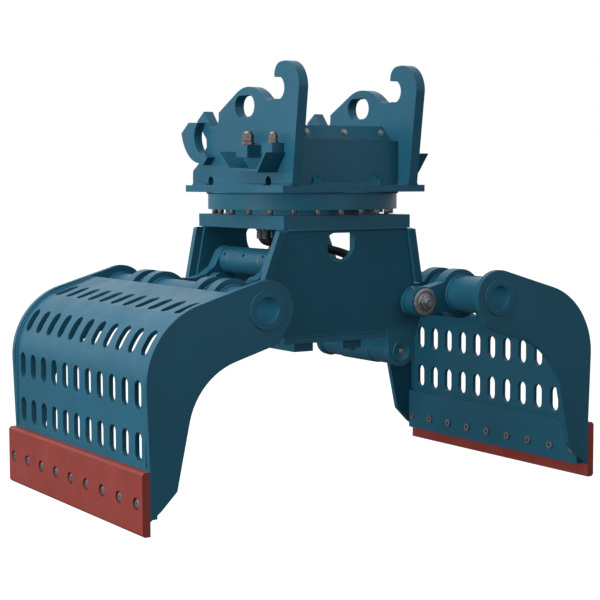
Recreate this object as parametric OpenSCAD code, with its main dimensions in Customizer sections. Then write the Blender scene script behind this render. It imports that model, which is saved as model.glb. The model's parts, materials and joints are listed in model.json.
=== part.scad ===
// Hydraulic sorting grapple for an excavator, standing on its two blades with the jaws open.
// X is the opening direction, Y runs along the pivot pins, Z is up.
// The slewing axis is x = y = 0 and the blades stand on z = 0.

/* [Jaws] */
// Width of each jaw over its side plates
jaw_w = 1000; // [900:10:1100]
// Thickness of the side plates
side_t = 20; // [16:1:26]
// Distance from the slewing axis to the inner face of a blade
blade_x = 824; // [823:0.5:825]
// Thickness of the cutting blades
blade_t = 25; // [20:1:26]
// Height of the cutting blades
blade_h = 185; // [160:5:190]
// Chamfer on the long edges of a blade
blade_bevel = 7; // [4:1:9]
// Radius of the bend in the side plate's outer edge
bend_r = 237; // [236:0.5:238]
// Slope of the jaw's flat top, in degrees below level
top_slope = 16.5; // [16.2:0.1:16.8]
// Depth of the perforated shell below the side plate's edge
shell_inset = 9; // [8:0.5:10]
// Thickness of the perforated shell
shell_t = 14; // [10:1:16]
// Slots in each row across the shell
slot_count = 11; // [9:1:12]
// Distance of the end slots from the jaw's outer faces
slot_edge = 72.5; // [68:0.5:80]
// Width of one slot
slot_w = 30; // [24:1:34]
// Length of one slot
slot_len = 86; // [76:1:90]
// Thickness of the backing strip inside the blade
strip_t = 18; // [14:1:20]
// Bolts that hold one blade
bolt_count = 9; // [7:1:10]
// Distance of the end bolts from the ends of the blade
bolt_edge = 41.2; // [36:0.1:60]
// Radius of the blade bolts' shanks
bolt_r = 10; // [8:0.5:12]

/* [Jaw tubes and arms] */
// Distance of a jaw's cross tube from the slewing axis
tube_x = 436; // [435:0.5:437]
// Height of the cross tubes
tube_z = 625.6; // [624:0.2:627]
// Outer radius of a cross tube
tube_r = 59.5; // [58:0.5:60]
// Inner radius of a cross tube
tube_bore_r = 38; // [34:1:42]
// Distance of a jaw pivot from the slewing axis
pivot_x = 285; // [284:0.5:286]
// Height of the jaw pivots
pivot_z = 604; // [603:0.5:605]
// Radius of the jaw pivot pins
pivot_r = 30; // [26:1:32]
// Wall of the bronze bushes on the pivot pins
bush_t = 6; // [5:0.5:7]
// Inner face of the inner arms, from the middle plane
inner_arm_y = 150; // [149:0.5:151]
// Thickness of every arm
arm_t = 44; // [42:1:45]
// Inner face of the outer arms, from the middle plane
outer_arm_y = 254; // [253:0.5:255]

/* [Frame] */
// Half length of the deck across the jaws
deck_hx = 241.7; // [238:0.1:245]
// Half width of the deck along the pins
deck_hy = 275; // [272:1:278]
// Height of the deck's top face
deck_z = 892; // [891:0.5:893]
// Thickness of the deck
deck_t = 43; // [38:1:45]
// Thickness of the frame's side plates
cheek_t = 20; // [16:1:22]
// Lean of the side plates, in degrees from upright
lean = 8.8; // [8.5:0.1:9]
// Spread of the side plates' sloped edges per unit of depth
spread_share = 0.275; // [0.26:0.005:0.29]

/* [Hydraulic cylinder] */
// Rod pin's distance from the slewing axis, on the left
lever_x = 188.6; // [188:0.2:189]
// Height of the rod pin
lever_z = 737; // [736:0.5:738]
// Base pin's distance from the slewing axis, on the right
base_x = 246; // [245:0.5:247]
// Height of the base pin
base_z = 437; // [436:0.5:438]
// Outer radius of the barrel
barrel_r = 50; // [48:0.5:52]
// Bore radius of the barrel
bore_r = 40; // [36:0.5:42]
// Radius of the piston rod
rod_r = 28; // [24:0.5:30]
// Radius of the rod pin
lever_pin_r = 22; // [20:0.5:24]
// Radius of the base pin
base_pin_r = 20; // [16:0.5:20]

/* [Rotator] */
// Outer radius of the rotator drum
drum_r = 313.5; // [310:0.5:316]
// Height of the drum's lower edge
drum_z = 910; // [909:0.5:911]
// Height of the drum
drum_h = 56; // [54:1:58]
// Teeth inside the slewing ring
ring_teeth = 56; // [56:1:56]
// Teeth on the slewing pinion
pinion_teeth = 14; // [14:1:14]
// Pitch radius of the slewing ring's teeth
ring_pitch_r = 224; // [222:0.5:226]
// Bolts round the lower edge of the drum
slew_bolt_count = 24; // [18:1:30]

/* [Coupler head] */
// Overhang of the head plate past the drum, on the ears' sides
head_over_x = 1.5; // [0:0.5:6]
// Overhang of the head plate past the drum, at the ears' ends
head_over_y = 3.5; // [0:0.5:6]
// Thickness of the head plate
head_t = 22; // [18:1:24]
// Distance from the slewing axis to an ear's outer face
ear_x = 238; // [234:1:242]
// Thickness of an ear
ear_t = 34; // [30:1:36]
// Radius of the seat in an ear's hook
hook_r = 35; // [33:0.5:36]

/* [Hidden] */

steel_blue = [0.13, 0.33, 0.43];
blade_red = [0.62, 0.27, 0.25];
bare_steel = [0.62, 0.6, 0.57];
bronze = [0.72, 0.52, 0.3];
rubber_black = [0.06, 0.06, 0.07];
chrome = [0.82, 0.83, 0.85];

fit = 0.05;
gap = 0.5;
cut = 1;
$fn = 48;

half_w = jaw_w / 2;
slot_pitch = (jaw_w - 2 * slot_edge) / (slot_count - 1);
bolt_pitch = (jaw_w - 2 * bolt_edge) / (bolt_count - 1);
head_hx = drum_r + head_over_x;
head_hy = drum_r + head_over_y;
bend_c = [blade_x + shell_inset - bend_r, 423];
deck_low = deck_z - deck_t;
cheek_depth = 345;
belly_z = deck_low - cheek_depth * cos(lean) - cheek_t / 2 * sin(lean) - 22.05;
arm_in = [inner_arm_y, inner_arm_y + arm_t];
arm_out = [outer_arm_y, outer_arm_y + arm_t];
arm_ring_r = 82;
boss_in = inner_arm_y + arm_t + 4;
boss_out = outer_arm_y - 4;
drum_top = drum_z + drum_h;
lid_z = 1130.1;
lid_top = 1177;
lid_low_y = 261.5;
lid_top_y = 240;
head_top = drum_top + head_t;
sync_reach = 70;
sync_left = [sync_reach * cos(60) - pivot_x, pivot_z + sync_reach * sin(60)];
sync_right = [pivot_x, pivot_z - sync_reach];
sync_end = sync_right + [-1.9, -9.5];
rod_at = [-lever_x, lever_z];
base_eye = [base_x - 2, base_z - 3.5];
cyl_len = norm(base_eye - rod_at);
cyl_tilt = atan2(base_eye[1] - rod_at[1], base_eye[0] - rod_at[0]);
pinion_r = ring_pitch_r * pinion_teeth / ring_teeth;
pinion_y = ring_pitch_r - pinion_r;

// Points along an arc in the plane it is drawn in
function arc(c, r, a0, a1, n) =
  [for (i = [0:n]) let (a = a0 + (a1 - a0) * i / n) c + r * [cos(a), sin(a)]];

// Extrudes an outline drawn in x and z from y0 to y1
module slab(y0, y1) {
  translate([0, y1, 0]) rotate([90, 0, 0]) linear_extrude(y1 - y0) children();
}

// The same slab on both sides of the middle plane
module slab_pair(y0, y1) {
  slab(y0, y1) children();
  slab(-y1, -y0) children();
}

// A round bar along Y between y0 and y1
module bar_y(at, r, y0, y1) {
  translate([at[0], y0, at[1]]) rotate([-90, 0, 0]) cylinder(r = r, h = y1 - y0);
}

module bar_pair(at, r, y0, y1) {
  bar_y(at, r, y0, y1);
  bar_y(at, r, -y1, -y0);
}

// A straight web between two points, w0 wide at the first and w1 at the second
module web(p, q, w0, w1) {
  d = (q - p) / norm(q - p);
  n = [-d[1], d[0]];
  polygon([p + n * w0 / 2, q + n * w1 / 2, q - n * w1 / 2, p - n * w0 / 2]);
}

module disc(at, r) { translate(at) circle(r = r); }

// Jaw side plate, drawn for the right jaw
module side_outline() {
  ring_r = 88;
  inner_c = [481, 269];
  difference() {
    polygon(concat(
      arc([tube_x, tube_z], ring_r, 90 - top_slope, 222, 20),
      [[384, 541], [399, 526], [420, 517]],
      arc(inner_c, 220, 90 - top_slope, 12.7, 12),
      [[737.8, 120.4], [790, 68], [blade_x, 43], [blade_x, 190]],
      arc(bend_c, bend_r, 0, 90 - top_slope, 16)));
    disc([tube_x, tube_z], tube_r + gap);
  }
}

module jaw_side(near) {
  y0 = near ? -half_w : half_w - side_t;
  color(steel_blue) slab(y0, y0 + side_t) side_outline();
}

// Section of the perforated shell, from the tube over the bend and down behind the blade
module shell_section() {
  r = bend_r - shell_inset;
  a = 90 - top_slope;
  n = [cos(a), sin(a)];
  t = [-sin(a), cos(a)];
  run = 212;
  top = bend_c + r * n;
  polygon(concat(
    [[blade_x, 44]], arc(bend_c, r, 0, a, 14), [top + run * t],
    [top + run * t - shell_t * n], arc(bend_c, r - shell_t, a, 0, 14),
    [[blade_x - shell_t, 44]]));
}

// One slot cutter, long way along the local Y of the jaw's section
module slot_cutter() {
  $fn = 12;
  reach = slot_len / 2 - slot_w / 2;
  linear_extrude(60, center = true) {
    square([slot_w, reach * 2], center = true);
    translate([0, reach]) circle(d = slot_w);
    translate([0, -reach]) circle(d = slot_w);
  }
}

// A row of slots at an angle round the bend, or at a height on the upright part
module slot_row(at, a) {
  first = -(slot_count - 1) / 2 * slot_pitch;
  for (i = [0:slot_count - 1])
    translate([at[0], first + i * slot_pitch, at[1]])
      rotate([0, 90 - a, 0]) rotate([0, 0, 90]) slot_cutter();
}

module jaw_shell() {
  r = bend_r - shell_inset - shell_t / 2;
  x = blade_x - shell_t / 2;
  flat_a = 69;
  bend_a = 33;
  color(steel_blue) difference() {
    slab(side_t + gap - half_w, half_w - side_t - gap) shell_section();
    slot_row(bend_c + r * [cos(flat_a), sin(flat_a)], flat_a);
    slot_row(bend_c + r * [cos(bend_a), sin(bend_a)], bend_a);
    slot_row([x, 396], 0);
    slot_row([x, 246], 0);
    blade_holes(bolt_r);
    for (y = [arm_in, arm_out])
      slab_pair(y[0] - gap, y[1] + gap) disc([tube_x, tube_z], arm_ring_r + gap);
  }
}

module blade_holes(r) {
  first = -(bolt_count - 1) / 2 * bolt_pitch;
  for (i = [0:bolt_count - 1])
    translate([blade_x - 60, first + i * bolt_pitch, 90])
      rotate([0, 90, 0]) cylinder(r = r, h = 120);
}

module backing_strip() {
  x1 = blade_x - shell_t - 0.05;
  color(steel_blue) difference() {
    translate([x1 - strip_t, side_t + gap - half_w, 43])
      cube([strip_t, jaw_w - 2 * side_t - 2 * gap, 144]);
    blade_holes(bolt_r);
  }
}

// Blade outline in x and z, with its two outer edges bevelled
module blade() {
  x0 = blade_x + 0.05;
  x1 = blade_x + blade_t;
  b = blade_bevel;
  color(blade_red) difference() {
    slab(-half_w, half_w)
      polygon([[x0, 0], [x1 - b, 0], [x1, b], [x1, blade_h - b], [x1 - b, blade_h], [x0, blade_h]]);
    blade_holes(bolt_r);
    first = -(bolt_count - 1) / 2 * bolt_pitch;
    for (i = [0:bolt_count - 1])
      translate([x1 - 14, first + i * bolt_pitch, 90]) rotate([0, 90, 0]) cylinder(r = 19, h = 20);
  }
}

// Bolt with a round head sunk in the blade and a socket nut inside the jaw
module blade_bolts() {
  x1 = blade_x + blade_t;
  x0 = blade_x - shell_t - strip_t - 0.1;
  first = -(bolt_count - 1) / 2 * bolt_pitch;
  color(bare_steel) for (i = [0:bolt_count - 1])
    translate([0, first + i * bolt_pitch, 90]) {
      translate([x1 - 13.9, 0, 0]) rotate([0, 90, 0]) cylinder(r = 16, h = 10);
      translate([x0 - 4, 0, 0]) rotate([0, 90, 0]) cylinder(r = bolt_r - 0.1, h = x1 - 10 - x0);
      difference() {
        translate([x0 - 5, 0, 0]) rotate([0, 90, 0]) cylinder(r = 18, h = 5);
        translate([x0 - 6, 0, 0]) rotate([0, 90, 0]) cylinder(r = 7, h = 4);
      }
    }
}

module cross_tube() {
  c = [tube_x, tube_z];
  color(steel_blue) difference() {
    bar_y(c, tube_r, -half_w - 4, half_w + 4);
    bar_y(c, tube_bore_r, -half_w - 5, half_w + 5);
  }
}

// Outer arm: an eye on the pivot pin, an eye round the cross tube and a web between them
module arm_outline() {
  p = [pivot_x, pivot_z];
  q = [tube_x, tube_z];
  disc(p, 50);
  disc(q, arm_ring_r);
  web(p, q, 84, 112);
}

module arm_holes() {
  disc([tube_x, tube_z], tube_r + gap);
  disc([pivot_x, pivot_z], pivot_r + bush_t + 0.05);
}

module outer_arms() {
  color(steel_blue) slab_pair(arm_out[0], arm_out[1]) difference() {
    arm_outline();
    arm_holes();
  }
}

module right_inner_arms_shape() {
  color(steel_blue) slab_pair(arm_in[0], arm_in[1]) difference() {
    union() {
      arm_outline();
      disc(sync_right, 36);
      web([pivot_x, pivot_z], sync_right, 96, 72);
      polygon([[pivot_x, pivot_z], [tube_x - 20, tube_z - 74], sync_right]);
    }
    arm_holes();
    disc(sync_right, 16 + fit);
  }
}

// Left inner arm, which carries the lever for the rod pin
module left_inner_arms_shape() {
  top = [[-443, 702], [-381, 684], [-330, 681], [-290, 692], [-252, 718], [-222, 774], rod_at];
  low = [[-210, 640], [-250, 572], [-pivot_x, pivot_z], [-tube_x, tube_z]];
  color(steel_blue) slab_pair(arm_in[0], arm_in[1]) difference() {
    union() {
      mirror([1, 0]) arm_outline();
      disc(rod_at, 48);
      polygon(concat(top, [[-150, 712]], low));
    }
    mirror([1, 0]) arm_holes();
    disc(rod_at, lever_pin_r + fit);
    disc(sync_left, 16 + fit);
  }
}

// Bronze bushes pressed into the four pivot eyes of a jaw
module jaw_bushes() {
  color(bronze) for (y = [arm_in, arm_out])
    slab_pair(y[0], y[1]) difference() {
      disc([pivot_x, pivot_z], pivot_r + bush_t);
      disc([pivot_x, pivot_z], pivot_r);
    }
}

module sync_pins(at, tip) {
  color(bare_steel) bar_pair(at, tip, 104, arm_in[1] - 1);
}

module rod_pin() {
  color(bare_steel) bar_y(rod_at, lever_pin_r, -arm_in[1], arm_in[1]);
}

module rod_pin_sleeves() {
  color(steel_blue) difference() {
    bar_pair(rod_at, 46, 98, arm_in[0] - 0.2);
    bar_y(rod_at, lever_pin_r + fit, -arm_in[1], arm_in[1]);
    for (s = [-1, 1]) translate([-lever_x, s * 124, lever_z])
      rotate([0, -60, 0]) cylinder(r = 5, h = 60);
  }
}

// Flat bars that keep the jaws in step, with a wide eye at the right-hand end
module sync_bars() {
  color(steel_blue) slab_pair(105, 146) difference() {
    union() {
      disc(sync_left, 34);
      disc(sync_end, 42);
      web(sync_left, sync_end, 40, 40);
    }
    disc(sync_left, 16 + fit);
    disc(sync_end, 28);
  }
}

// Frame side plate in its own plane: x across, y is minus the depth below the deck
module cheek_outline() {
  depth = cheek_depth;
  half = 232;
  bottom = 205;
  eye_d = (deck_low - pivot_z) / cos(lean);
  s = spread_share;
  difference() {
    union() {
      polygon([[-half, 0], [half, 0], [half + s * 190, -190], [pivot_x + 30, -eye_d],
        [pivot_x - 20, -eye_d - 58], [bottom + 18, -depth + 14], [bottom, -depth],
        [-bottom, -depth], [-bottom - 18, -depth + 14], [20 - pivot_x, -eye_d - 58],
        [-pivot_x - 30, -eye_d], [-half - s * 190, -190]]);
      disc([pivot_x, -eye_d], 61);
      disc([-pivot_x, -eye_d], 61);
    }
    window();
  }
}

// Access window: square shoulders at the top, round at the bottom
module window() {
  c = [-21, -53];
  r = 51;
  polygon(concat([[c[0] + r, c[1] + 24], [c[0] + r - 6, c[1] + 36], [c[0] + r - 18, c[1] + 42]],
    [[c[0] - r + 18, c[1] + 42], [c[0] - r + 6, c[1] + 36], [c[0] - r, c[1] + 24]],
    arc(c, r, 180, 360, 16)));
}

// Thick flange along one sloped edge of the side plate
module edge_flange(side) {
  half = 232;
  s = spread_share;
  top = 2;
  len = 182;
  polygon([[side * half, -top], [side * (half + 28), -top],
    [side * (half + 28 + s * len), -len], [side * (half + s * len), -len]]);
}

// Near side plate with its flanges, pivot bosses and the plate that carries the base pin
module frame_side() {
  top_y = -262;
  base_plate = [boss_in, boss_in + 22];
  color(steel_blue) difference() {
    union() {
      translate([0, top_y, deck_low]) rotate([lean, 0, 0]) translate([0, cheek_t / 2, 0])
        rotate([90, 0, 0]) linear_extrude(cheek_t) cheek_outline();
      for (side = [-1, 1])
        translate([0, top_y, deck_low]) rotate([lean, 0, 0]) translate([0, 4, 0])
          rotate([90, 0, 0]) linear_extrude(24) edge_flange(side);
      for (side = [-1, 1]) bar_y([side * pivot_x, pivot_z], 50, -boss_out, -boss_in);
      bar_y([base_x, base_z], 46, -boss_in - 1, -97);
      slab(-base_plate[1], -base_plate[0]) {
        disc([pivot_x, pivot_z], 58);
        disc([base_x, base_z], 50);
        polygon([[pivot_x - 95, pivot_z - 70], [pivot_x - 60, pivot_z + 20],
          [pivot_x + 52, pivot_z - 24], [pivot_x + 26, base_z + 62], [base_x + 44, base_z + 24],
          [base_x - 48, base_z + 12], [base_x - 58, base_z + 64]]);
      }
    }
    for (side = [-1, 1])
      bar_y([side * pivot_x, pivot_z], pivot_r + fit, -boss_out - cut, cut - boss_in);
    bar_y([base_x, base_z], base_pin_r + fit, -base_plate[1] - cut, -96);
    translate([-head_hx, -head_hx, deck_low]) cube([2 * head_hx, 2 * head_hx, 40]);
  }
}

module deck() {
  color(steel_blue) difference() {
    translate([-deck_hx, -deck_hy, deck_low + 0.05])
      cube([2 * deck_hx, 2 * deck_hy, deck_t - 0.05]);
    translate([0, 0, deck_low - cut]) cylinder(r = 52, h = deck_t + 2 * cut);
    for (i = [0:11]) rotate([0, 0, i * 30 + 15]) translate([226, 0, deck_low - cut])
      cylinder(r = 9, h = deck_t + 2 * cut);
  }
}

// Closing plate under the frame, open under the cylinder
module belly_plate() {
  color(steel_blue) difference() {
    translate([-206, -218, belly_z]) cube([412, 436, 22]);
    translate([-50, -100, belly_z - cut]) cube([257, 200, 25]);
    for (s = [-1, 1]) translate([186, s * 213 - 15.1, belly_z - cut]) cube([21, 30.2, 25]);
  }
}

module belly_beams() {
  color(steel_blue) {
    translate([-130, -155, belly_z - 34.05]) cube([72, 310, 34]);
    for (s = [-1, 1]) translate([58, s * 128 - 27, belly_z - 34.05]) cube([72, 54, 34]);
  }
}

// Slewing ring fixed on the deck: a plain outside with a ball groove, teeth inside
module slewing_inner_ring() {
  m = 2 * ring_pitch_r / ring_teeth;
  p = 360 / ring_teeth;
  color(bare_steel) difference() {
    translate([0, 0, deck_z + 0.05]) cylinder(r = 256, h = 66);
    translate([0, 0, deck_z - cut]) linear_extrude(70) union() {
      circle(r = ring_pitch_r - 0.7 * m);
      for (i = [0:ring_teeth - 1]) rotate(90 + i * p)
        polygon([[ring_pitch_r - m, -0.42 * m * PI], [ring_pitch_r + 1.1 * m, -0.22 * m * PI],
          [ring_pitch_r + 1.1 * m, 0.22 * m * PI], [ring_pitch_r - m, 0.42 * m * PI]]);
    }
    ball_groove();
  }
}

module ball_groove() {
  translate([0, 0, 935]) rotate_extrude() translate([258, 0]) circle(r = 9.4);
}

module slewing_outer_ring() {
  color(bare_steel) difference() {
    translate([0, 0, drum_z]) cylinder(r = 300, h = 49.95);
    translate([0, 0, drum_z - cut]) cylinder(r = 260, h = 52);
    ball_groove();
  }
}

module slewing_balls() {
  color(bare_steel) for (i = [0:35]) rotate([0, 0, i * 10]) translate([258, 0, 935])
    sphere(r = 9);
}

module slew_pinion() {
  m = 2 * pinion_r / pinion_teeth;
  p = 360 / pinion_teeth;
  color(bare_steel) translate([0, pinion_y, 0]) {
    translate([0, 0, 898]) linear_extrude(50) union() {
      circle(r = pinion_r - 1.1 * m);
      for (i = [0:pinion_teeth - 1]) rotate(90 + i * p)
        polygon([[pinion_r - 1.4 * m, -0.3 * m * PI], [pinion_r + 0.75 * m, -0.11 * m * PI],
          [pinion_r + 0.75 * m, 0.11 * m * PI], [pinion_r - 1.4 * m, 0.3 * m * PI]]);
    }
    translate([0, 0, 948]) cylinder(r = 20, h = 72);
  }
}

module slew_motor() {
  color(bare_steel) translate([0, pinion_y, head_top + 0.05]) difference() {
    union() {
      cylinder(r = 62, h = 16);
      cylinder(r = 46, h = 108);
      translate([-30, -56, 52]) cube([60, 50, 40]);
    }
    translate([0, 0, -cut]) cylinder(r = 20 + fit, h = 40);
  }
}

module oil_swivel() {
  color(bare_steel) {
    translate([-60, -60, deck_low - 34]) cube([120, 120, 33.95]);
    translate([0, 0, deck_low - 1]) cylinder(r = 50, h = 90);
  }
}

// Route of one pressure hose from the deck over the cylinder to the bulkhead
hose_path = [[-150, 838], [-150, 822], [-140, 806], [-116, 798], [-70, 797], [-20, 794],
  [30, 788], [80, 778], [130, 766], [166, 755], [188, 747], [204, 743], [217.9, 743]];

// Unit direction of the route at point i
function heading(i) =
  let (n = len(hose_path) - 1, p = hose_path[max(i - 1, 0)], q = hose_path[min(i + 1, n)])
  (q - p) / norm(q - p);

module hose(y) {
  sides = 10;
  n = len(hose_path);
  r = 12.5;
  points = [for (i = [0:n - 1]) let (d = heading(i)) for (k = [0:sides - 1])
    let (a = k * 360 / sides) [hose_path[i][0] - d[1] * r * sin(a), y + r * cos(a),
      hose_path[i][1] + d[0] * r * sin(a)]];
  walls = [for (i = [0:n - 2], k = [0:sides - 1]) let (j = (k + 1) % sides)
    [i * sides + k, i * sides + j, (i + 1) * sides + j, (i + 1) * sides + k]];
  ends = [[for (k = [0:sides - 1]) sides - 1 - k], [for (k = [0:sides - 1]) (n - 1) * sides + k]];
  polyhedron(points, concat(walls, ends));
}

module hoses() {
  color(rubber_black) for (y = [-17, 17]) hose(y);
}

module hose_fittings() {
  color(bare_steel) for (y = [-17, 17])
    translate([-150, y, 838.1]) cylinder(r = 15, h = deck_low - 838.2, $fn = 6);
}

module hose_bulkhead() {
  color(steel_blue) difference() {
    translate([218, -42, 722]) cube([12, 84, deck_low - 722.1]);
    for (y = [-17, 17]) translate([210, y, 743]) rotate([0, 90, 0]) cylinder(r = 9, h = 30);
  }
}

module pivot_pins() {
  color(bare_steel) for (side = [-1, 1])
    bar_pair([side * pivot_x, pivot_z], pivot_r - fit, inner_arm_y - 1, arm_out[1] + 0.5);
}

module pivot_washers() {
  color(bare_steel) for (side = [-1, 1])
    bar_pair([side * pivot_x, pivot_z], 45, arm_out[1] + 0.6, arm_out[1] + 8);
}

module pivot_nuts() {
  y = arm_out[1] + 8.1;
  color(bare_steel) for (side = [-1, 1], face = [-1, 1])
    translate([side * pivot_x, face * y, pivot_z]) rotate([-face * 90, 0, 0]) {
      cylinder(r = 24, h = 12, $fn = 6);
      translate([0, 0, 12]) cylinder(r = 15, h = 7);
    }
}

module base_pin() {
  color(bare_steel) bar_y([base_x, base_z], base_pin_r, -boss_in - 21, boss_in + 21);
}

module base_pin_caps() {
  c = [base_x, base_z];
  color(steel_blue) difference() {
    bar_pair(c, 34, boss_in + 22.1, boss_in + 28);
    bar_pair(c, 8, boss_in + 25, boss_in + 30);
  }
}

// The cylinder's parts are drawn along X from the rod pin and turned on to its line
module on_cylinder() {
  translate([rod_at[0], 0, rod_at[1]]) rotate([0, -cyl_tilt, 0]) children();
}

module rod_bar(x0, x1, r) {
  translate([x0, 0, 0]) rotate([0, 90, 0]) cylinder(r = r, h = x1 - x0);
}

module piston_rod() {
  color(chrome) difference() {
    union() {
      bar_y(rod_at, 46, -96.5, 96.5);
      on_cylinder() {
        rod_bar(30, cyl_len - 150, rod_r);
        rod_bar(cyl_len - 150, cyl_len - 122, bore_r - 0.1);
      }
    }
    bar_y(rod_at, lever_pin_r + fit, -97, 97);
    translate([-lever_x, 0, lever_z]) rotate([0, -60, 0]) cylinder(r = 6, h = 60);
  }
}

module barrel() {
  c0 = 168;
  c1 = cyl_len - 118;
  color(steel_blue) difference() {
    union() {
      on_cylinder() {
        rod_bar(c0, c0 + 36, barrel_r + 5);
        rod_bar(c0 + 30, c1 + 24, barrel_r);
        rod_bar(c1 + 20, cyl_len - 20, 36);
        for (x = [c0 + 50, c1]) translate([x, 0, barrel_r - 4]) cylinder(r = 15, h = 18);
      }
      bar_y(base_eye, 45, -96.5, 96.5);
    }
    on_cylinder() {
      rod_bar(c0 - cut, c1, rod_r + 0.1);
      rod_bar(c0 + 32, c1, bore_r);
    }
    bar_y(base_eye, base_pin_r + 13, -97, 97);
  }
}

module head_plate() {
  cx = 45;
  cy = 87;
  color(steel_blue) translate([0, 0, drum_top]) difference() {
    linear_extrude(head_t) polygon([[-head_hx, cy - head_hy], [cx - head_hx, -head_hy],
      [head_hx - cx, -head_hy], [head_hx, cy - head_hy], [head_hx, head_hy - cy],
      [head_hx - cx, head_hy], [cx - head_hx, head_hy], [-head_hx, head_hy - cy]]);
    translate([0, pinion_y, -cut]) cylinder(r = 44, h = head_t + 2 * cut);
    translate([0, 0, -cut]) cylinder(r = 56, h = head_t + 2 * cut);
  }
}

module rotator_drum() {
  color(steel_blue) difference() {
    translate([0, 0, drum_z]) cylinder(r = drum_r, h = drum_h - 0.05, $fn = 96);
    translate([0, 0, drum_z - cut]) cylinder(r = 300.2, h = drum_h - 5, $fn = 96);
    translate([0, 0, drum_z - cut]) cylinder(r = 262, h = drum_h + 2, $fn = 96);
  }
}

// Cap screws round the drum's lower edge
module drum_bolts() {
  color(bare_steel) for (i = [0:slew_bolt_count - 1])
    rotate([0, 0, (i + 0.5) * 360 / slew_bolt_count]) translate([293, 0, drum_z - 17])
      cylinder(r = 9, h = 16.95);
}

// Ear outline in y and z, with the hook at the near end and a half-round seat at the rear
module ear_outline() {
  hook_c = [-240, 1290];
  seat_c = [176, 1211];
  hump_c = [-50, 1143];
  hump_r = 160;
  dip_r = 66;
  dip_a = 38;
  dip_c = hump_c + (hump_r + dip_r) * [-sin(dip_a), cos(dip_a)];
  z0 = head_top + 0.05;
  hole = [-30, 1242];
  difference() {
    polygon(concat(
      [[324, z0]], arc([310, 1028], 14, 0, 50, 3), [[284, 1059], [224, 1117], [226, 1142]],
      [[208, 1197], seat_c, seat_c - [hook_r, 0], [141, 1227]],
      arc(hump_c, hump_r, 63.4, 90 + dip_a, 14), arc(dip_c, dip_r, dip_a - 90, -90, 6),
      [[-228, 1257.2], hook_c, [-232, 1324], [-216, 1325]], arc([-256, 1330], 40.5, 8, 86, 8),
      arc([-277, 1289], 83, 90, 180, 18), [[-319, z0]]));
    disc(hook_c, hook_r);
    disc(seat_c, hook_r);
    for (y = [197, -177]) translate([y, z0]) arch(17, 12);
    polygon(concat(arc(hole + [28, 0], 34.5, -90, 90, 10),
      arc(hole - [28, 0], 34.5, 90, 270, 10)));
  }
}

// Rounded mouse hole at the foot of a plate
module arch(r, rise) {
  translate([0, rise]) circle(r = r);
  translate([-r, -cut]) square([2 * r, rise + cut]);
}

module ear() {
  color(steel_blue) translate([ear_x - ear_t, 0, 0]) rotate([90, 0, 90])
    linear_extrude(ear_t) ear_outline();
}

module cover_panel() {
  w = ear_x - ear_t - 0.3;
  color(steel_blue) translate([0, -250, 0]) rotate([90, 0, 0]) linear_extrude(12)
    difference() {
      translate([-w, head_top + 0.05]) square([2 * w, 142]);
      for (x = [-114, 114]) translate([x, head_top]) arch(17, 13);
    }
}

// Section of the lid in y and z, d inside its outer faces
module lid_section(d) {
  y1 = lid_low_y - d;
  y2 = lid_top_y - d;
  polygon([[-y1, lid_z - d], [y1, lid_z - d], [y1, lid_z + 3], [y2, lid_top - d],
    [-y2, lid_top - d], [-y1, lid_z + 3]]);
}

// Lid over the slew motor, with sloping flanges that take the bolts
module cover_lid() {
  w = ear_x - ear_t - 0.3;
  color(steel_blue) intersection() {
    translate([-w, 0, 0]) rotate([90, 0, 90]) linear_extrude(2 * w) difference() {
      lid_section(0);
      lid_section(8);
    }
    slab(-lid_low_y - cut, lid_low_y + cut)
      polygon([[26 - w, lid_z - cut], [w - 26, lid_z - cut], [w - 49, lid_top + cut],
        [49 - w, lid_top + cut]]);
  }
}

module cover_bolts() {
  run = [lid_top_y - lid_low_y, lid_top - lid_z - 3];
  at = [lid_low_y, lid_z + 3] + run / 2;
  color(bare_steel) for (s = [0, 1], x = [-143, 0, 143]) mirror([0, s, 0])
    translate([x, -at[0], at[1]]) rotate([90 - atan2(-run[0], run[1]), 0, 0])
      translate([0, 0, 0.05]) cylinder(r = 9, h = 8, $fn = 6);
}

// Claws welded on the outer faces at the rear, curved like a quarter pipe
module wedge_claws() {
  color(steel_blue) for (m = [0, 1]) mirror([m, 0, 0])
    translate([ear_x + 0.05, 0, 0]) rotate([90, 0, 90]) linear_extrude(30)
      polygon(concat([[296, 1199]], arc([217, 1197], 136, -14, -85, 14),
        [[196, 1055], [166, 1080]], arc([199, 1149], 58, -92, 25, 12), [[233, 1197]]));
}

// Pointed lug welded on each ear's tip, which leads the pin into the rear seat
module wedge_lugs() {
  color(steel_blue) for (m = [0, 1]) mirror([m, 0, 0])
    translate([ear_x - ear_t, 0, 0]) rotate([90, 0, 90]) linear_extrude(ear_t)
      polygon([[226.2, 1142], [291, 1203], [242, 1235], [208.2, 1197]]);
}

// Bent trough that carries the hoses on the outside of an ear
module hose_troughs() {
  t = 8;
  color(steel_blue) for (m = [0, 1]) mirror([m, 0, 0])
    translate([ear_x + 0.05, 0, 0]) rotate([90, 0, 90]) linear_extrude(72)
      polygon([[20, 1096], [-54, 1036], [-230, 1028], [-284, 1090],
        [-284 + t, 1090], [-228, 1028 + t + 2], [-57, 1036 + t], [20 - t, 1096]]);
}

module port_blocks() {
  color(steel_blue) for (m = [0, 1]) mirror([m, 0, 0]) {
    translate([ear_x + 0.05, -132, 1076]) cube([50, 72, 40]);
    translate([ear_x + 0.05, -273, 1088]) cube([44, 60, 32]);
  }
}

// Hexagon nut, collar and open tube end of one oil coupler
module oil_coupler(at, r, h) {
  translate(at) difference() {
    union() {
      cylinder(r = r, h = h * 0.28, $fn = 6);
      cylinder(r = r * 0.72, h = h * 0.5);
      translate([0, 0, h * 0.42]) cylinder(r = r * 0.95, h = h * 0.48, $fn = 6);
      cylinder(r = r * 0.7, h = h);
    }
    translate([0, 0, h * 0.5]) cylinder(r = r * 0.4, h = h);
  }
}

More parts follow.
